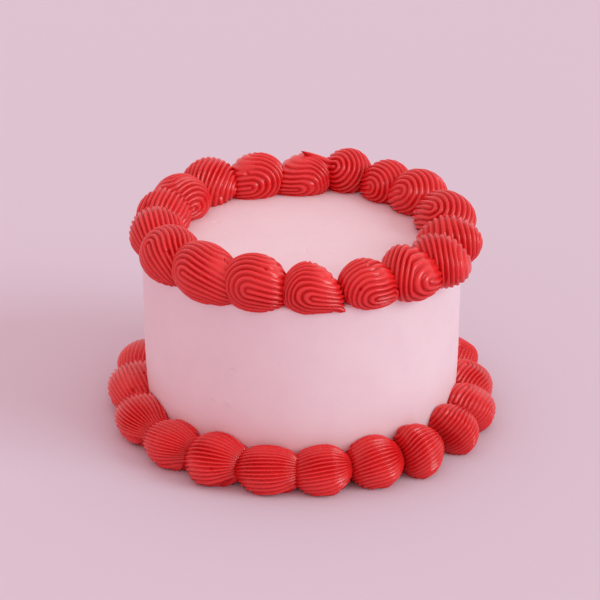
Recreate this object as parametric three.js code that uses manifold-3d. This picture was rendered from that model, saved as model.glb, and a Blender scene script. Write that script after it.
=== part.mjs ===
// A round iced cake, uncut, with a border of piped shells round its top edge and another round
// its foot. The cake stands on z = 0 with its axis on Z, and its front is towards -Y.
import * as THREE from 'three';
import { mergeVertices } from 'three/addons/utils/BufferGeometryUtils.js';
import Module from 'manifold-3d';

const wasm = await Module();
wasm.setup();
const radians = THREE.MathUtils.degToRad;

// Driving dimensions of the iced cake, in millimetres
const CAKE_RADIUS = 78;
const CAKE_HEIGHT = 90;
const FOOT_DRAW_IN = 2;
const CAKE_SIDES = 48;

// Touching pieces keep this gap, and points closer than the weld are one point
const GAP = 0.3;
const WELD = 1e-3;

// Piping: each shell is drawn out counter-clockwise, and the head of the next one sits on its tail
const RIDGE_TURN = radians(21);
const RIDGE_DEPTH = 1.3;
const ROWS = 6;
const HIDDEN_COLUMNS = 4;

// Each row below is one shell, in the order of piping: the angle of its middle round the cake and
// its distance from the axis, its reach towards its head, its tail, each side and upwards, and two
// directions from its middle, where its ridges end and where they start. A direction is a turn
// from the tail, clockwise seen from above, and a height above level.
const TOP_SHELLS = [
  [87, 68.4, 12, 21.5, 15, 12, [-10, 0], [-65, -35]],
  [109, 68.4, 14.5, 18.5, 14.8, 14, [-10, 10], [-70, -35]],
  [130, 72.5, 15.5, 21, 14, 15, [-25, 0], [-150, -30]],
  [149, 70, 14.5, 20.5, 14.6, 14, [-10, -10], [-65, -25]],
  [165, 70, 13.5, 19.5, 14, 13.5, [-10, -15], [180, -15]],
  [184, 70, 13.5, 22, 13.5, 13.5, [0, -10], [170, -30]],
  [208, 69.5, 17, 22, 15, 15, [10, 0], [90, 0]],
  [230, 69.2, 20.5, 24, 15, 14.5, [5, -5], [105, -25]],
  [252, 69, 17.5, 18, 14.5, 15.5, [0, -5], [65, -32]],
  [271, 69.5, 10.5, 20, 12.5, 13.5, [-5, -10], [60, -38]],
  [294, 71.5, 12.5, 17, 14.5, 12.5, [20, 0], [80, -32]],
  [310, 72.2, 9.5, 20.5, 16.8, 14.5, [15, -5], [65, -42]],
  [327, 75.7, 10.5, 18, 17, 15, [0, 0], [120, -60]],
  [346, 72.7, 11, 21, 15.9, 14, [-10, 0], [120, -50]],
  [371, 71.9, 18, 22, 15, 13.5, [-40, 15], [-95, -25]],
  [395, 72.6, 13.8, 17.5, 16.2, 14.3, [-15, 10], [-80, -25]],
  [413, 72.3, 13.5, 14.5, 15, 12.2, [-10, -5], [-65, -30]],
  [432, 75.4, 13.6, 13.5, 15.2, 13, [-5, 32], [-60, -50]],
];

const BOTTOM_SHELLS = [
  [160, 83.5, 15.5, 21, 15.5, 10, [0, 0], [160, -20]],
  [179, 82.5, 18.5, 25, 15, 11, [0, 0], [150, -20]],
  [203, 82.5, 18, 21.5, 15.5, 10.5, [0, 0], [160, -20]],
  [224, 84.5, 17, 17.5, 14, 10.5, [0, 0], [180, -20]],
  [241, 84.5, 13.7, 18, 16, 12.3, [0, 10], [180, -20]],
  [260, 85, 18, 17.3, 13.3, 11.3, [0, 5], [180, -20]],
  [277, 84.5, 16.2, 14.5, 13.5, 11.5, [0, 10], [-170, -30]],
  [294, 84, 14, 15.5, 14.6, 12, [0, 10], [-160, -40]],
  [308, 86.5, 8.4, 16.5, 14, 13.5, [0, 15], [-140, -35]],
  [327, 85, 8.4, 16.3, 15, 12.5, [0, 15], [-125, -40]],
  [343, 83.4, 12, 19.5, 16.3, 11.5, [-30, 20], [130, -60]],
  [361, 81.8, 17, 19.5, 15, 11.5, [-30, 20], [130, -60]],
  [382, 82.5, 14, 21, 15, 11, [-10, 20], [150, -60]],
  [400, 82, 16, 22, 15, 10.5, [0, 5], [180, -30]],
  [419, 83, 16.5, 23, 14.5, 11, [10, 0], [170, -35]],
  [440, 82, 17, 22.5, 15, 10.5, [0, 5], [180, -30]],
  [461, 82.5, 16, 22, 15.5, 11, [-10, 5], [170, -25]],
  [480, 82, 15.5, 23, 15, 10, [0, 0], [180, -30]],
  [501, 83, 16, 21.5, 14.5, 10.5, [0, 5], [160, -25]],
];

// The top border lies on the edge of the cake and leans out over its side. Its tails were pulled
// towards the front, and dip. Its last shell ends in a thin tip.
const TOP_BORDER = {
  name: 'top_shell',
  shells: TOP_SHELLS,
  level: 95.5,
  sink: 10.8,
  floor: 87.3,
  pulledForward: 0.4,
  tailDip: 10,
  hiddenOut: 0,
  ridged: radians(231),
  tipLength: 16,
  tipWidth: 38,
};

// The bottom border stands on the ground against the foot of the cake
const BOTTOM_BORDER = {
  name: 'bottom_shell',
  shells: BOTTOM_SHELLS,
  level: 9.5,
  sink: 13.4,
  floor: 0,
  pulledForward: 0,
  tailDip: 0,
  hiddenOut: -0.6,
  ridged: radians(147),
  tipLength: 0,
  tipWidth: 1,
};

const PINK_ICING = new THREE.MeshStandardMaterial({ color: 0xecc8d2, roughness: 0.6, metalness: 0 });
const RED_ICING = new THREE.MeshStandardMaterial({ color: 0xc8323a, roughness: 0.45, metalness: 0 });

// Closed solids for cutting

function toSolid(geometry) {
  const bare = geometry.clone();
  bare.deleteAttribute('normal');
  bare.deleteAttribute('uv');
  const merged = mergeVertices(bare, WELD);
  return new wasm.Manifold(new wasm.Mesh({
    numProp: 3,
    vertProperties: new Float32Array(merged.attributes.position.array),
    triVerts: new Uint32Array(merged.index.array),
  }));
}

function toGeometry(solid) {
  const mesh = solid.getMesh();
  const geometry = new THREE.BufferGeometry();
  geometry.setAttribute('position', new THREE.BufferAttribute(mesh.vertProperties, 3));
  geometry.setIndex(new THREE.BufferAttribute(mesh.triVerts, 1));
  return geometry;
}

// What a cut leaves, as its largest body, without the scraps at its rim
function largestBody(solid) {
  const bodies = toSolid(toGeometry(solid)).decompose();
  return bodies.reduce((best, body) => (body.volume() > best.volume() ? body : best));
}

// The cake: a lathe turned about Z, a little narrower at its foot

function cakeGeometry(swell) {
  const radius = CAKE_RADIUS + swell;
  const top = CAKE_HEIGHT + swell;
  const foot = radius - FOOT_DRAW_IN;
  const outline = new THREE.Path();
  outline.moveTo(0, -swell);
  outline.lineTo(foot, -swell);
  outline.quadraticCurveTo(radius, CAKE_HEIGHT / 3, radius, CAKE_HEIGHT / 2);
  outline.lineTo(radius, top);
  outline.lineTo(0, top);
  const lathe = new THREE.LatheGeometry(outline.getPoints(2), CAKE_SIDES);
  return lathe.rotateX(Math.PI / 2);
}

// A shell: where it sits, how far it reaches each way, and where its ridges start and end

function turned(direction, towards, angle) {
  return direction.clone().multiplyScalar(Math.cos(angle)).addScaledVector(towards, Math.sin(angle));
}

function placeShell(border, index) {
  const [azimuth, ring, head, tail, halfWidth, rise, ridgeEnd, ridgeStart] = border.shells[index];
  const a = radians(azimuth);
  const along = new THREE.Vector3(-Math.sin(a), Math.cos(a), 0);
  const out = new THREE.Vector3(Math.cos(a), Math.sin(a), 0);
  const up = new THREE.Vector3(0, 0, 1);
  const down = new THREE.Vector3(0, 0, -1);
  const front = new THREE.Vector3(0, -1, 0);
  const flat = along.clone().addScaledVector(front, border.pulledForward).normalize();
  const wide = flat.clone().cross(up);
  const dip = radians(border.tailDip);
  const direction = ([turn, height]) => turned(turned(flat, wide, radians(turn)), up, radians(height));
  return {
    centre: out.clone().multiplyScalar(ring).setZ(border.level),
    long: turned(flat, down, dip),
    up: turned(up, flat, dip),
    wide,
    head,
    tail,
    halfWidth,
    rise,
    sink: border.sink,
    floor: border.floor - border.level,
    hidden: down.clone().addScaledVector(out, border.hiddenOut).normalize(),
    ridged: border.ridged,
    ridgeEnd: direction(ridgeEnd),
    ridgeStart: direction(ridgeStart),
    tipLength: index === border.shells.length - 1 ? border.tipLength : 0,
    tipWidth: radians(border.tipWidth),
  };
}

// How far the smooth shell reaches from its centre in a direction: an egg with a flat underside
function shellReach(shell, direction) {
  const forward = direction.dot(shell.long);
  const sideways = direction.dot(shell.wide);
  const upward = direction.dot(shell.up);
  const length = forward > 0 ? shell.tail : shell.head;
  const height = upward > 0 ? shell.rise : shell.sink;
  const nearTip = Math.max(0, 1 - direction.angleTo(shell.ridgeEnd) / shell.tipWidth);
  return 1 / Math.hypot(forward / length, sideways / shell.halfWidth, upward / height)
    + shell.tipLength * nearTip ** 3;
}

// Ridges run from the start, under the head, round the shell to the end, under the next head.
// They are the meridians of a ball whose two poles are drawn together towards their middle:
// turn goes round the ball from the middle, and share goes along a ridge from its end.
function meridianDirections(shell) {
  const axis = shell.ridgeEnd.clone().sub(shell.ridgeStart).normalize();
  const middle = shell.ridgeEnd.clone().add(shell.ridgeStart);
  const drawn = middle.length() / 2;
  middle.normalize();
  const across = axis.clone().cross(middle);
  const cosh = 1 / Math.sqrt(1 - drawn * drawn);
  const sinh = drawn * cosh;
  const stretch = cosh + sinh;
  const longestHalf = 2 * Math.atan(stretch);
  return (turn, share) => {
    const ballTurn = 2 * Math.atan2(stretch * Math.sin(turn / 2), Math.cos(turn / 2));
    const fromTop = 2 * Math.atan(Math.tan(longestHalf * (0.5 - share)) / stretch);
    const ring = Math.cos(fromTop);
    const towards = ring * Math.cos(ballTurn);
    const shrink = 1 / (cosh + towards * sinh);
    return axis.clone().multiplyScalar(Math.sin(fromTop) * shrink)
      .addScaledVector(across, ring * Math.sin(ballTurn) * shrink)
      .addScaledVector(middle, (towards * cosh + sinh) * shrink);
  };
}

// The turn at which a shell faces what hides it: the cake and the ground
function hiddenTurn(shell) {
  const toDirection = meridianDirections(shell);
  let best = 0;
  for (let degrees = 0; degrees < 360; degrees += 5) {
    const facing = toDirection(radians(degrees), 0.5).dot(shell.hidden);
    if (facing > toDirection(radians(best), 0.5).dot(shell.hidden)) {
      best = degrees;
    }
  }
  return radians(best);
}

// The turn of each column of points. On a ridged shell there is one on each crest and in each
// groove, and on a smooth one those on the crests alone. The side that is hidden has a few more.
function columnTurns(shell, ridged) {
  const from = hiddenTurn(shell) + Math.PI - shell.ridged / 2;
  const ridges = Math.round(shell.ridged / RIDGE_TURN);
  const steps = ridged ? 2 * ridges : ridges;
  const turns = [];
  for (let i = 0; i <= steps; i += 1) {
    turns.push({ angle: from + (shell.ridged * i) / steps, groove: ridged && i % 2 === 1 });
  }
  for (let i = 1; i < HIDDEN_COLUMNS; i += 1) {
    const angle = from + shell.ridged + ((2 * Math.PI - shell.ridged) * i) / HIDDEN_COLUMNS;
    turns.push({ angle, groove: false });
  }
  return turns;
}

function shellGeometry(shell, swell, ridged) {
  const turns = columnTurns(shell, ridged);
  const ball = new THREE.SphereGeometry(1, turns.length, ROWS);
  const toDirection = meridianDirections(shell);
  const position = ball.attributes.position;
  const point = new THREE.Vector3();
  for (let i = 0; i < position.count; i += 1) {
    const row = Math.floor(i / (turns.length + 1));
    const { angle, groove } = turns[(i % (turns.length + 1)) % turns.length];
    const direction = toDirection(angle, row / ROWS);
    const fade = THREE.MathUtils.smoothstep(Math.sin((Math.PI * row) / ROWS), 0.05, 0.5);
    let reach = shellReach(shell, direction) + swell - (groove ? RIDGE_DEPTH * fade : 0);
    const floor = shell.floor - swell;
    if (direction.z * reach < floor) {
      reach = floor / direction.z;
    }
    point.copy(shell.centre).addScaledVector(direction, reach);
    position.setXYZ(i, point.x, point.y, point.z);
  }
  return ball;
}

const ridgedShell = (shell) => shellGeometry(shell, 0, true);
const shellCutter = (shell) => shellGeometry(shell, GAP, false);

// Everything below the ground, to cut the bottom border flat
function groundSolid() {
  const size = 4 * CAKE_RADIUS;
  return toSolid(new THREE.BoxGeometry(size, size, size).translate(0, 0, -size / 2));
}

function pipedBorder(border) {
  const group = new THREE.Group();
  const shells = border.shells.map((row, index) => placeShell(border, index));
  const away = toSolid(cakeGeometry(GAP)).add(groundSolid());
  shells.forEach((shell, index) => {
    const next = shells[(index + 1) % shells.length];
    const last = index === shells.length - 1;
    let solid = toSolid(ridgedShell(shell)).subtract(away);
    if (!last) {
      solid = solid.subtract(toSolid(shellCutter(next)));
    }
    if (index === 0) {
      solid = solid.subtract(toSolid(shellCutter(shells[shells.length - 1])));
    }
    const mesh = new THREE.Mesh(toGeometry(largestBody(solid)), RED_ICING);
    mesh.name = `${border.name}_${String(index + 1).padStart(2, '0')}`;
    group.add(mesh);
  });
  return group;
}

const cake = new THREE.Mesh(cakeGeometry(0), PINK_ICING);
cake.name = 'cake';

const part = new THREE.Group();
part.add(cake, pipedBorder(TOP_BORDER), pipedBorder(BOTTOM_BORDER));

export default part;
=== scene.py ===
"""A round iced cake, uncut, with a border of piped shells round its top edge and another round its foot."""
import math

import bpy
import numpy as np
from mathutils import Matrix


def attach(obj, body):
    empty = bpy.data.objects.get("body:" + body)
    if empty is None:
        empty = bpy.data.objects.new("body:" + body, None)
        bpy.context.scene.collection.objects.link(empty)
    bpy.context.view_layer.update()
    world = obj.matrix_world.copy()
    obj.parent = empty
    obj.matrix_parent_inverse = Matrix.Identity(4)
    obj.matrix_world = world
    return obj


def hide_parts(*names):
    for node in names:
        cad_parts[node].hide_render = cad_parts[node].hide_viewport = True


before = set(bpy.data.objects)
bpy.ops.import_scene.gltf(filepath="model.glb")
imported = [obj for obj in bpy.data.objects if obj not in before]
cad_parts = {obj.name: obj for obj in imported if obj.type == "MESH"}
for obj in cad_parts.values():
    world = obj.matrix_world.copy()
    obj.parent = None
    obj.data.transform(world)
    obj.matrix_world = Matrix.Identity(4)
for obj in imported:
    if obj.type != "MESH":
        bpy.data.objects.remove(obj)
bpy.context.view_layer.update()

MM = 0.001

# The iced cake
CAKE_RADIUS = 78.0
CAKE_HEIGHT = 90.0
FOOT_DRAW_IN = 2.0
OFF_CENTRE = 0.3
TOP_EDGE_RADIUS = 2.5
SIDE_ROWS = 96
EDGE_ROWS = 9
TOP_ROWS = 60
CAKE_COLUMNS = 420
FRONT_CROWDING = 0.45

# Spread by hand, the icing swells a little. Each row is the strength of some slow waves, how many
# there are, and how fast they change along X, Y and Z. The foot stays flat where it meets the ground.
SWELLS = [(0.22, 6, (3.5, 3.5, 2.0)), (0.05, 6, (9.0, 9.0, 2.0))]
SWELL_SEED = 7
FLAT_FOOT = 4.0

# Swelling and dents go upwards on the top and outwards on the side. The direction turns over with the
# distance from the axis, mostly in the last part of it, and is all outwards from this distance on.
OUTWARDS_FROM = CAKE_RADIUS - 6.0
TURN_SHARPNESS = 8

# Small dents where air bubbles broke in the smooth icing: angle round the cake, distance from its
# axis, height, radius and depth, which is negative for a small bump
DENTS = [
    (245.7, 77.8, 54.8, 1.1, 0.8), (237.0, 77.2, 35.5, 1.2, 0.7), (247.8, 77.0, 30.5, 1.0, 0.5),
    (219.5, 76.8, 26.1, 1.0, 0.5), (240.6, 78.0, 72.4, 1.1, 0.5), (244.0, 77.3, 37.5, 2.2, -0.35),
    (152.3, 47.3, 90.0, 1.6, 0.7), (166.8, 36.4, 90.0, 1.3, 0.5), (280.2, 13.0, 90.0, 1.1, 0.5),
    (309.2, 20.4, 90.0, 1.3, 0.5), (262.0, 77.6, 60.0, 1.0, 0.3), (285.0, 77.4, 44.0, 1.2, 0.3),
]

# Piping: each shell is drawn out counter-clockwise, and the head of the next one sits on its tail.
# Each row below is one shell: the angle of its middle round the cake and its distance from the axis,
# its reach towards its head, its tail, each side and upwards, the angle from ridge to ridge, the
# family of its ridges, how much they draw together towards each end, and two directions from its
# middle. LOOPS run round the line between the two directions, and LINES run side by side over the
# first one towards the second. A direction is a turn from the tail, clockwise seen from above, and a
# height above level.
LOOPS = "loops"
LINES = "lines"

TOP_SHELLS = [
    (87, 68.4, 12.0, 21.5, 15.0, 12.0, 11.5, LOOPS, (0, 0.25), (-50, -5), (5, -5)),
    (109, 68.4, 14.5, 18.5, 14.8, 14.0, 11.5, LOOPS, (0, 0.25), (-40, 5), (20, -5)),
    (130, 72.5, 15.5, 21.0, 14.0, 15.0, 10.5, LOOPS, (0, 0.25), (-115, -5), (-150, -40)),
    (149, 70.0, 14.5, 20.5, 14.6, 14.0, 10.5, LOOPS, (0, 0.25), (-50, 5), (0, -10)),
    (165, 70.0, 13.5, 19.5, 14.0, 13.5, 11.0, LOOPS, (0, 0.25), (-160, 35), (5, -10)),
    (184, 70.0, 13.5, 22.0, 13.5, 13.5, 11.0, LOOPS, (0, 0.25), (5, 35), (170, 0)),
    (208, 69.5, 17.0, 22.0, 15.0, 15.0, 10.5, LOOPS, (0, 0.25), (80, 35), (-5, -25)),
    (230, 69.2, 20.5, 24.0, 15.0, 14.5, 11.0, LOOPS, (0, 0.25), (85, 20), (8, -4)),
    (252, 69.0, 17.5, 18.0, 14.5, 15.5, 11.5, LOOPS, (0, 0.25), (65, 15), (0, -4)),
    (271, 69.5, 10.5, 20.0, 12.5, 13.5, 11.5, LOOPS, (0, 0.25), (50, 5), (-4, -8)),
    (294, 71.5, 12.5, 17.0, 14.5, 12.5, 12.0, LOOPS, (0, 0.2), (65, -5), (28, -5)),
    (310, 72.2, 9.5, 20.5, 16.8, 14.5, 14.0, LOOPS, (0, 0.2), (50, 5), (10, -5)),
    (327, 75.7, 10.5, 18.0, 17.0, 15.0, 11.0, LINES, (0, 0), (0, 90), (120, 0)),
    (346, 72.7, 11.0, 21.0, 15.9, 14.0, 12.0, LOOPS, (0, 0.4), (150, -5), (-20, 30)),
    (371, 71.9, 18.0, 22.0, 15.0, 13.5, 12.0, LOOPS, (0, 0.25), (-115, 40), (-10, -15)),
    (395, 72.6, 13.8, 17.5, 16.2, 14.3, 12.0, LOOPS, (0, 0.25), (-75, 25), (15, -25)),
    (413, 72.3, 13.5, 14.5, 15.0, 12.2, 12.0, LOOPS, (0, 0.25), (-60, 10), (10, -15)),
    (432, 75.4, 13.6, 13.5, 15.2, 13.0, 12.0, LOOPS, (0, 0.25), (-45, 35), (20, 10)),
]

BOTTOM_SHELLS = [
    (160, 83.5, 15.5, 21.0, 15.5, 10.0, 9.0, LINES, (0, 0.4), (90, 60), (-10, 0)),
    (179, 82.5, 18.5, 25.0, 15.0, 11.0, 9.3, LINES, (0, 0.4), (90, 55), (-20, -5)),
    (203, 82.5, 18.0, 21.5, 15.5, 10.5, 8.8, LINES, (0.3, 0.9), (90, 42), (0, 4)),
    (224, 84.5, 17.0, 17.5, 14.0, 10.5, 8.8, LINES, (0.5, 0.9), (90, 34), (0, 8)),
    (241, 84.5, 13.7, 18.0, 16.0, 12.3, 9.3, LINES, (0.5, 0.95), (90, 38), (0, 8)),
    (260, 85.0, 18.0, 17.3, 13.3, 11.3, 9.3, LINES, (0.6, 0.9), (90, 34), (0, 6)),
    (277, 84.5, 16.2, 14.5, 13.5, 11.5, 9.3, LINES, (0.6, 0.9), (90, 34), (0, 8)),
    (294, 84.0, 14.0, 15.5, 14.6, 12.0, 9.3, LINES, (0.6, 0.9), (90, 36), (0, 8)),
    (308, 86.5, 8.4, 16.5, 14.0, 13.5, 9.3, LINES, (0.5, 0.9), (90, 38), (0, 13)),
    (327, 85.0, 8.4, 16.3, 15.0, 12.5, 9.3, LINES, (0.4, 0.9), (90, 40), (0, 15)),
    (343, 83.4, 12.0, 19.5, 16.3, 11.5, 9.0, LOOPS, (0, 0.2), (10, 67), (-164, 40)),
    (361, 81.8, 17.0, 19.5, 15.0, 11.5, 9.0, LOOPS, (0, 0.2), (31, 80), (-146, 40)),
    (382, 82.5, 14.0, 21.0, 15.0, 11.0, 9.0, LOOPS, (0, 0.2), (160, 50), (-165, 25)),
    (400, 82.0, 16.0, 22.0, 15.0, 10.5, 9.3, LINES, (0.5, 0.9), (90, 45), (0, 5)),
    (419, 83.0, 16.5, 23.0, 14.5, 11.0, 9.0, LINES, (0.4, 0.9), (90, 40), (0, 8)),
    (440, 82.0, 17.0, 22.5, 15.0, 10.5, 9.5, LINES, (0.5, 0.9), (90, 50), (0, 3)),
    (461, 82.5, 16.0, 22.0, 15.5, 11.0, 9.2, LINES, (0.3, 0.9), (90, 42), (0, 10)),
    (480, 82.0, 15.5, 23.0, 15.0, 10.0, 9.3, LINES, (0.5, 0.9), (90, 48), (0, 0)),
    (501, 83.0, 16.0, 21.5, 14.5, 10.5, 9.0, LINES, (0.4, 0.8), (90, 55), (0, 5)),
]

# Where the bag smoothed the ridges out: shell, direction, and radius in degrees
TOP_PATCHES = [
    (0, (20, 60), 38), (0, (-40, 76), 34), (1, (-12, 44), 30), (1, (40, 62), 34), (7, (2, 36), 26),
    (8, (-8, 40), 34), (9, (4, 34), 34), (9, (-19, 52), 34), (10, (12, 36), 28), (11, (35, 25), 34),
    (12, (69, 6), 30), (15, (147, 43), 20),
]

# Small pits where air bubbles broke: shell, direction, radius in degrees, and depth
TOP_PITS = [
    (1, (-27, 32), 5, 1.6), (2, (-64, -3), 6, 1.6), (2, (43, 60), 4, 1.2), (4, (34, 37), 6, 1.8),
    (6, (22, 31), 6, 1.8), (7, (41, 28), 4, 1.2), (7, (-19, 41), 5, 1.8), (8, (19, 53), 5, 1.4),
    (10, (100, 17), 4, 1.2),
]
BOTTOM_PITS = [
    (1, (-1, 19), 6, 1.6), (1, (-42, 55), 5, 1.4), (4, (66, 10), 5, 1.2),
]

# Slow waves make the piping uneven: their strength, how many there are, and how fast they change
BODY_WAVES = (0.3, 5, 2.2)
RIDGE_WANDER = (0.8, 4, 2.5)
RIDGE_UNEVENNESS = (0.18, 4, 3.0)

# Ridges from line to line: their spacing varies from shell to shell, parallel lines keep nearly one
# spacing towards a shell's sides, and a smooth patch takes most of their depth away
PITCH_RANGE = (0.98, 1.02)
EVENNESS = 0.92
PATCH_SMOOTHING = 0.85

# The stretch of a tail, as shares of its length, over which a shell narrows
TAPER_RANGE = (0.2, 0.9)
TIP_SHARPNESS = 3

# Squares along each side of the six grids that a shell is made of, and how closely they are drawn
# together on the side of the shell that is seen most
GRID = 42
CROWDING = 0.5

# Thin tips of icing that the bag pulled off: shell, direction, length, and width in degrees. The
# last shell ends in a long one, and a small one hangs where two shells meet.
TOP_TIPS = [(17, (-5, 31), 17.5, 27), (9, (3, -20), 4.2, 18)]

# A border: the height of its shells' middles, their reach downwards, the height below which nothing
# hangs, how far the tails were pulled towards the front and how many degrees they dip, how much they
# narrow, the depth of the grooves, how narrow those are and how strongly shade is painted into them,
# and whether the fine side of the grid faces up or also outwards
TOP_BORDER = {
    "name": "top_shell",
    "shells": TOP_SHELLS,
    "smooth_patches": TOP_PATCHES,
    "pits": TOP_PITS,
    "tips": TOP_TIPS,
    "level": 95.5,
    "sink": 10.8,
    "floor": 87.3,
    "pulled_forward": 0.4,
    "tail_dip": 10,
    "taper": 0.12,
    "ridge_depth": 1.05,
    "groove_sharpness": 1.5,
    "painted_groove_shade": 1.0,
    "crowd_out": 0.0,
}

BOTTOM_BORDER = {
    "name": "bottom_shell",
    "shells": BOTTOM_SHELLS,
    "smooth_patches": [],
    "pits": BOTTOM_PITS,
    "tips": [],
    "level": 9.5,
    "sink": 13.4,
    "floor": 0.0,
    "pulled_forward": 0.0,
    "tail_dip": 0,
    "taper": 0.10,
    "ridge_depth": 1.1,
    "groove_sharpness": 1.1,
    "painted_groove_shade": 0.78,
    "crowd_out": 1.0,
}

# Icing: the scales of its colour patches, its gloss and its grain, the part of each noise that counts,
# how much glossier and duller it is in places, and how far light spreads in it, red light furthest
PATCH_SCALE = 60.0
SATIN_SCALE = 220.0
GRAIN_SCALE = 900.0
PATCH_RANGE = (0.35, 0.65)
SATIN_RANGE = (0.3, 0.7)
GLOSSIER = 0.06
DULLER = 0.1
GLOW_OF_EACH_COLOUR = (1.0, 0.35, 0.25)
GLOW_DEPTH = 1.5 * MM

# Camera: in front of the cake and above it, looking down, with a long lens on a 36 mm wide sensor
CAMERA_PLACE = (-0.0006, -0.9803, 0.5205)
CAMERA_TILT = 64.72
LENS = 131.64
SENSOR = 36.0

# Plain floor, and even light from all round
FLOOR_REACH = 3.0
FLOOR_COLOUR = (0.68, 0.572, 0.655)
FLOOR_ROUGHNESS = 0.8
SURROUND_COLOUR = (1.0, 0.777, 0.804)
SURROUND_STRENGTH = 0.94

UP = np.array([0.0, 0.0, 1.0])
FRONT = np.array([0.0, -1.0, 0.0])


def unit(vector):
    return vector / np.linalg.norm(vector, axis=-1, keepdims=True)


def turned(direction, towards, degrees):
    """A direction turned by some degrees towards another one at right angles to it."""
    a = math.radians(degrees)
    return direction * math.cos(a) + towards * math.sin(a)


def place_shell(border, index):
    """Its border's values, where a shell sits, how far it reaches each way, and how its ridges run."""
    azimuth, ring, head, tail, half_width, rise, pitch, *ridges = border["shells"][index]
    family, drawing, first, second = ridges
    a = math.radians(azimuth)
    along = np.array([-math.sin(a), math.cos(a), 0.0])
    out = np.array([math.cos(a), math.sin(a), 0.0])
    flat = unit(along + border["pulled_forward"] * FRONT)
    wide = np.cross(flat, UP)

    def direction(turn, height):
        return turned(turned(flat, wide, turn), UP, height)

    def on_this_shell(marks):
        return [(direction(*at), *sizes) for shell, at, *sizes in marks if shell == index]

    return {
        **border,
        "centre": out * ring + UP * border["level"],
        "long": turned(flat, -UP, border["tail_dip"]),
        "up": turned(UP, flat, border["tail_dip"]),
        "wide": wide,
        "head": head,
        "tail": tail,
        "half_width": half_width,
        "rise": rise,
        "family": family,
        "drawing": drawing,
        "first": direction(*first),
        "second": direction(*second),
        "pitch": pitch,
        "crowded": unit(UP + border["crowd_out"] * out),
        "smooth_patches": on_this_shell(border["smooth_patches"]),
        "pits": on_this_shell(border["pits"]),
        "tips": on_this_shell(border["tips"]),
    }


def smoothstep(low, high, value):
    """0 below the first value, 1 above the second, and a soft step between them."""
    t = np.clip((value - low) / (high - low), 0, 1)
    return t * t * (3 - 2 * t)


def egg_scale(shell, forward, upward):
    """Half lengths of the egg on the side that a point lies."""
    length = np.where(forward > 0, shell["tail"], shell["head"])
    height = np.where(upward > 0, shell["rise"], shell["sink"])
    return length, height


def to_egg(shell, ball):
    """Points of a ball of radius 1, stretched to the smooth shell, which narrows along its tail."""
    length, height = egg_scale(shell, ball[:, 0], ball[:, 2])
    girth = 1 - shell["taper"] * smoothstep(*TAPER_RANGE, ball[:, 0])
    return (shell["long"] * (ball[:, 0] * length)[:, None]
            + shell["wide"] * (ball[:, 1] * shell["half_width"] * girth)[:, None]
            + shell["up"] * (ball[:, 2] * height * girth)[:, None])


def to_ball(shell, direction):
    """The point of the ball that lies in a direction from the shell's middle."""
    forward = direction @ shell["long"]
    upward = direction @ shell["up"]
    sideways = direction @ shell["wide"]
    length, height = egg_scale(shell, forward, upward)
    return unit(np.array([forward / length, sideways / shell["half_width"], upward / height]))


def apart(points, direction):
    """Degrees between each point of the ball and a direction."""
    return np.degrees(np.arccos(np.clip(points @ direction, -1, 1)))


def loop_distance(points, start, end):
    """Degrees from each point of the ball to the line between two of its points."""
    axis = unit(np.cross(start, end))
    beside = np.degrees(np.arcsin(np.clip(np.abs(points @ axis), 0, 1)))
    within = (points @ np.cross(axis, start) > 0) & (points @ np.cross(end, axis) > 0)
    return np.where(within, beside, np.minimum(apart(points, start), apart(points, end)))


def nearness(directions, direction, radius):
    """1 at a direction, falling softly to 0 at a radius in degrees."""
    return np.exp(-2 * (apart(directions, direction) / radius) ** 2)


def slow_waves(points, chance, strength, count, slope):
    """A smooth uneven value for each point, mostly smaller than the strength."""
    value = np.zeros(len(points))
    for _ in range(count):
        value += np.sin(points @ (chance.normal(size=3) * slope) + chance.uniform(0, 2 * np.pi))
    return strength * (value / math.sqrt(count))


def across_ridges(shell, ball):
    """How far across the ridges each point of the ball lies, in degrees."""
    first = to_ball(shell, shell["first"])
    second = to_ball(shell, shell["second"])
    loops = shell["family"] == LOOPS
    forward = ball[:, 0] if loops else ball @ second
    towards_head, towards_tail = shell["drawing"]
    drawn = np.sqrt(1 - np.where(forward > 0, towards_tail, towards_head) * forward ** 2)
    if loops:
        return loop_distance(ball, first, second) / drawn
    across = np.clip(ball @ unit(np.cross(second, first)) / drawn, -1, 1)
    return np.degrees(np.arcsin(EVENNESS * across)) / EVENNESS


def groove_depth(shell, ball, directions, chance):
    """Grooves between the ridges, a little wavy, uneven in depth, and smoothed out in patches."""
    distance = across_ridges(shell, ball) + slow_waves(ball, chance, *RIDGE_WANDER)
    pitch = shell["pitch"] * chance.uniform(*PITCH_RANGE)
    turn = 2 * np.pi * distance / pitch
    depth = shell["ridge_depth"] * (1 + slow_waves(ball, chance, *RIDGE_UNEVENNESS))
    for patch, radius in shell["smooth_patches"]:
        depth = depth * (1 - PATCH_SMOOTHING * nearness(directions, patch, radius))
    return depth * (0.5 - 0.5 * np.cos(turn)) ** shell["groove_sharpness"]


def ball_grid():
    """A ball of radius 1 made of six square grids, with their shared edges joined."""
    steps = np.tan(np.linspace(-math.pi / 4, math.pi / 4, GRID + 1))
    across, down = np.meshgrid(steps, steps)
    sheets = []
    for axis in range(3):
        for side in (1, -1):
            sheet = np.empty((GRID + 1, GRID + 1, 3))
            sheet[..., axis] = side
            sheet[..., (axis + 1) % 3] = across * side
            sheet[..., (axis + 2) % 3] = down
            sheets.append(unit(sheet))
    points = np.concatenate([sheet.reshape(-1, 3) for sheet in sheets])
    _, first, joined = np.unique(np.round(points, 6), axis=0, return_index=True, return_inverse=True)
    joined = joined.reshape(6, GRID + 1, GRID + 1)
    corners = [joined[:, :-1, :-1], joined[:, :-1, 1:], joined[:, 1:, 1:], joined[:, 1:, :-1]]
    return points[first], np.stack(corners, axis=-1).reshape(-1, 4)


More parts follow.
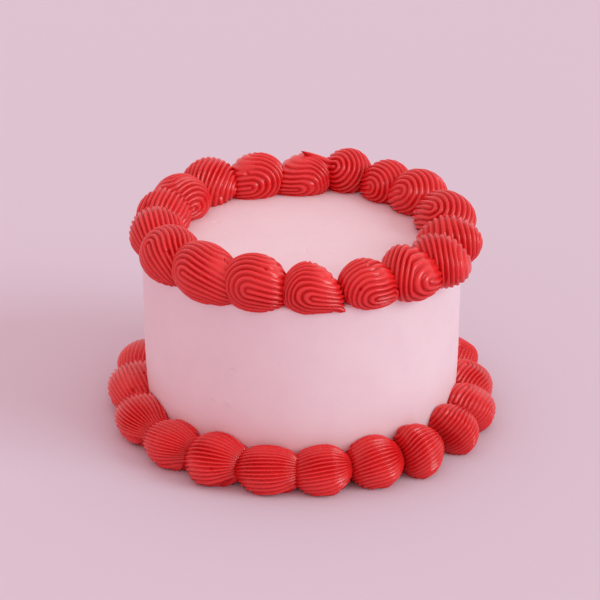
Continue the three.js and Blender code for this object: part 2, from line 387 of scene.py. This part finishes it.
def crowd(points, towards):
    """Draws the points of a ball together on one side of it, where they are seen most."""
    near = points @ towards
    drawn = near * math.cosh(CROWDING) + math.sinh(CROWDING)
    return unit(points - near[:, None] * towards + drawn[:, None] * towards)


def shell_points(shell, points, index):
    """A ball's points drawn out to the shell, and how deep in a groove each lies."""
    chance = np.random.default_rng(index + 1)
    ball = crowd(points, to_ball(shell, shell["crowded"]))
    egg = to_egg(shell, ball)
    reach = np.linalg.norm(egg, axis=1)
    directions = egg / reach[:, None]
    reach += slow_waves(ball, chance, *BODY_WAVES)
    grooves = groove_depth(shell, ball, directions, chance)
    reach -= grooves
    for pit, radius, depth in shell["pits"]:
        reach -= depth * nearness(directions, pit, radius)
    for tip, length, width in shell["tips"]:
        reach += length * np.clip(1 - apart(directions, tip) / width, 0, 1) ** TIP_SHARPNESS
    return shell["centre"] + directions * reach[:, None], grooves / shell["ridge_depth"]


def flatten_underside(points, shell):
    """Draws what would lie below the shell's underside back along its ray."""
    centre = shell["centre"]
    rays = points - centre
    below = points[:, 2] < shell["floor"]
    rays[below] *= ((shell["floor"] - centre[2]) / rays[below, 2])[:, None]
    return centre + rays


def mark_groove_shade(piece, depth):
    """Keeps how deep in a groove each point lies, for the shade painted into the grooves."""
    marks = piece.data.attributes.new("groove", "FLOAT", "POINT")
    marks.data.foreach_set("value", depth)


def make_object(name, points, faces, material):
    """A smooth-shaded object of points in millimetres and the faces between them."""
    mesh = bpy.data.meshes.new(name)
    mesh.from_pydata((points * MM).tolist(), [], [tuple(face) for face in faces])
    mesh.materials.append(material)
    mesh.polygons.foreach_set("use_smooth", [True] * len(mesh.polygons))
    mesh.update()
    piece = bpy.data.objects.new(name, mesh)
    bpy.context.scene.collection.objects.link(piece)
    return piece


def add_node(material, kind, **inputs):
    """A node of the material's tree, with values set on its inputs."""
    node = material.node_tree.nodes.new(kind)
    for name, value in inputs.items():
        node.inputs[name.replace("_", " ")].default_value = value
    return node


def feed_remapped(material, source, before, after, target):
    """Leads a value to a socket, with one range of it turned into another."""
    node = add_node(material, "ShaderNodeMapRange", From_Min=before[0], From_Max=before[1],
                    To_Min=after[0], To_Max=after[1])
    material.node_tree.links.new(source, node.inputs["Value"])
    material.node_tree.links.new(node.outputs["Result"], target)


def icing_material(name, pale, dark, roughness, gloss_level, translucency, grain_height):
    """Buttercream: slow patches of colour, a satin gloss that varies, and a fine grain."""
    material = bpy.data.materials.new(name)
    material.use_nodes = True
    links = material.node_tree.links
    shader = material.node_tree.nodes["Principled BSDF"]
    shader.inputs["Specular IOR Level"].default_value = gloss_level
    shader.inputs["Subsurface Weight"].default_value = translucency
    shader.inputs["Subsurface Radius"].default_value = GLOW_OF_EACH_COLOUR
    shader.inputs["Subsurface Scale"].default_value = GLOW_DEPTH

    place = material.node_tree.nodes.new("ShaderNodeTexCoord")
    patches = add_node(material, "ShaderNodeTexNoise", Scale=PATCH_SCALE, Detail=4.0, Roughness=0.6)
    links.new(place.outputs["Object"], patches.inputs["Vector"])
    colour = material.node_tree.nodes.new("ShaderNodeValToRGB")
    for stop, position, shade in zip(colour.color_ramp.elements, PATCH_RANGE, (dark, pale)):
        stop.position = position
        stop.color = (*shade, 1)
    links.new(patches.outputs["Fac"], colour.inputs["Fac"])
    links.new(colour.outputs["Color"], shader.inputs["Base Color"])

    satin = add_node(material, "ShaderNodeTexNoise", Scale=SATIN_SCALE, Detail=3.0, Roughness=0.5)
    links.new(place.outputs["Object"], satin.inputs["Vector"])
    gloss_range = (roughness - GLOSSIER, roughness + DULLER)
    feed_remapped(material, satin.outputs["Fac"], SATIN_RANGE, gloss_range, shader.inputs["Roughness"])

    grain = add_node(material, "ShaderNodeTexNoise", Scale=GRAIN_SCALE, Detail=4.0, Roughness=0.6)
    links.new(place.outputs["Object"], grain.inputs["Vector"])
    bump = add_node(material, "ShaderNodeBump", Strength=0.5, Distance=grain_height)
    links.new(grain.outputs["Fac"], bump.inputs["Height"])
    links.new(bump.outputs["Normal"], shader.inputs["Normal"])
    return material


def paint_shade_in_grooves(material, deep, gloss_level):
    """Painted shade in the grooves: a darker colour, and less gloss for the reflections that reach them
    less.
    """
    nodes = material.node_tree.nodes
    links = material.node_tree.links
    shader = nodes["Principled BSDF"]
    surface = shader.inputs["Base Color"].links[0].from_socket
    marks = nodes.new("ShaderNodeAttribute")
    marks.attribute_name = "groove"
    mix = nodes.new("ShaderNodeMix")
    mix.data_type = "RGBA"
    mix.inputs["B"].default_value = (*deep, 1)
    links.new(marks.outputs["Fac"], mix.inputs["Factor"])
    links.new(surface, mix.inputs["A"])
    links.new(mix.outputs["Result"], shader.inputs["Base Color"])
    gloss = shader.inputs["Specular IOR Level"]
    feed_remapped(material, marks.outputs["Fac"], (0, 1), (gloss.default_value, gloss_level), gloss)


RED = icing_material("red_icing", pale=(0.82, 0.021, 0.023), dark=(0.76, 0.014, 0.016), roughness=0.22,
                     gloss_level=0.6, translucency=0.05, grain_height=0.08 * MM)
# Painted shade: the red is darker and less glossy deep in the grooves
paint_shade_in_grooves(RED, deep=(0.50, 0.005, 0.007), gloss_level=0.1)
PINK = icing_material("pink_icing", pale=(0.85, 0.655, 0.70), dark=(0.83, 0.625, 0.675), roughness=0.5,
                      gloss_level=0.4, translucency=0.12, grain_height=0.05 * MM)


def pipe_border(border):
    ball, faces = ball_grid()
    for index in range(len(border["shells"])):
        shell = place_shell(border, index)
        points, grooves = shell_points(shell, ball, index)
        node = "%s_%02d" % (border["name"], index + 1)
        piece = make_object("piped_" + node, flatten_underside(points, shell), faces, RED)
        # How deep each point lies in a groove, scaled for the shade painted there
        mark_groove_shade(piece, grooves * border["painted_groove_shade"])
        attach(piece, "root")
        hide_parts(node)


def cake_outline():
    """Distance from the axis and height of each row of points, up the side and in over the top."""
    rows = []
    for height in np.linspace(0, CAKE_HEIGHT - TOP_EDGE_RADIUS, SIDE_ROWS)[:-1]:
        drawn_in = FOOT_DRAW_IN * max(0, 1 - 2 * height / CAKE_HEIGHT) ** 2
        rows.append((CAKE_RADIUS - drawn_in, height))
    for a in np.linspace(0, math.pi / 2, EDGE_ROWS):
        rows.append((CAKE_RADIUS - TOP_EDGE_RADIUS * (1 - math.cos(a)),
                     CAKE_HEIGHT - TOP_EDGE_RADIUS * (1 - math.sin(a))))
    for radius in np.linspace(CAKE_RADIUS - TOP_EDGE_RADIUS, 0, TOP_ROWS)[1:-1]:
        rows.append((radius, CAKE_HEIGHT))
    return np.array(rows)


def ring_faces(rows, columns):
    """Quads between the rings of a closed outline, and a fan at each of its two end points."""
    column = np.arange(columns)
    following = (column + 1) % columns
    faces = []
    for row in range(rows - 1):
        a = row * columns
        b = a + columns
        faces.extend(np.stack([a + column, a + following, b + following, b + column], axis=1).tolist())
    bottom = rows * columns
    last = (rows - 1) * columns
    for here, there in zip(column.tolist(), following.tolist()):
        faces.append([bottom, there, here])
        faces.append([bottom + 1, last + here, last + there])
    return faces


def ice_cake():
    """The iced body: its rings of points stand closer together at the front, where it is dented."""
    rows = cake_outline()
    turn = 2 * np.pi * np.arange(CAKE_COLUMNS) / CAKE_COLUMNS
    angle = turn - np.pi / 2 - FRONT_CROWDING * np.sin(turn)
    radius, angle = np.meshgrid(rows[:, 0], angle, indexing="ij")
    height = np.repeat(rows[:, 1:], CAKE_COLUMNS, axis=1)
    points = np.stack([radius * np.cos(angle), radius * np.sin(angle), height], axis=-1).reshape(-1, 3)
    chance = np.random.default_rng(SWELL_SEED)
    on_side = smoothstep(0, OUTWARDS_FROM, np.hypot(points[:, 0], points[:, 1])) ** TURN_SHARPNESS
    out = np.stack([np.cos(angle), np.sin(angle), 0 * angle], axis=-1).reshape(-1, 3)
    off_ground = smoothstep(0, FLAT_FOOT, points[:, 2])
    swell = sum(slow_waves(points / CAKE_RADIUS, chance, *waves) for waves in SWELLS)
    towards = out * on_side[:, None] + UP * (1 - on_side)[:, None]
    points += towards * (swell * off_ground)[:, None]
    points[:, 0] += OFF_CENTRE
    for azimuth, at_radius, at_height, size, depth in DENTS:
        a = math.radians(azimuth)
        at = np.array([at_radius * math.cos(a), at_radius * math.sin(a), at_height])
        near = np.exp(-2 * (np.linalg.norm(points - at, axis=1) / size) ** 2)
        points -= towards * (depth * near)[:, None]
    ends = np.array([(0, 0, 0), (0, 0, points[-CAKE_COLUMNS:, 2].mean())])
    faces = ring_faces(len(rows), CAKE_COLUMNS)
    piece = make_object("iced_cake", np.concatenate([points, ends]), faces, PINK)
    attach(piece, "root")
    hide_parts("cake")


def set_camera():
    data = bpy.data.cameras.new("camera")
    data.sensor_width = SENSOR
    data.lens = LENS
    camera = bpy.data.objects.new("camera", data)
    camera.location = CAMERA_PLACE
    camera.rotation_euler = (math.radians(CAMERA_TILT), 0, 0)
    bpy.context.scene.collection.objects.link(camera)
    bpy.context.scene.camera = camera


def sun_light(name, turn, height, angle, strength, colour):
    """A broad soft light from a turn to the right of the front and a height, in degrees."""
    data = bpy.data.lights.new(name, "SUN")
    data.angle = math.radians(angle)
    data.energy = strength
    data.color = colour
    lamp = bpy.data.objects.new(name, data)
    level = math.cos(math.radians(height))
    lamp.location = (level * math.sin(math.radians(turn)), -level * math.cos(math.radians(turn)),
                     math.sin(math.radians(height)))
    lamp.rotation_euler = lamp.location.to_track_quat("Z", "Y").to_euler()
    bpy.context.scene.collection.objects.link(lamp)


def set_stage():
    floor_material = bpy.data.materials.new("floor")
    floor_material.use_nodes = True
    shader = floor_material.node_tree.nodes["Principled BSDF"]
    shader.inputs["Base Color"].default_value = (*FLOOR_COLOUR, 1)
    shader.inputs["Roughness"].default_value = FLOOR_ROUGHNESS
    corners = np.array([(-1, -1, 0), (1, -1, 0), (1, 1, 0), (-1, 1, 0)])
    floor = make_object("floor", corners * FLOOR_REACH / MM, [(0, 1, 2, 3)], floor_material)
    sun_light("key", turn=70, height=28, angle=32, strength=1.31, colour=(0.66, 1, 1))
    world = bpy.data.worlds.new("world")
    world.use_nodes = True
    background = world.node_tree.nodes["Background"]
    background.inputs["Color"].default_value = (*SURROUND_COLOUR, 1)
    background.inputs["Strength"].default_value = SURROUND_STRENGTH
    bpy.context.scene.world = world
    bpy.context.scene.view_settings.view_transform = "Standard"


set_camera()
set_stage()
ice_cake()
pipe_border(TOP_BORDER)
pipe_border(BOTTOM_BORDER)
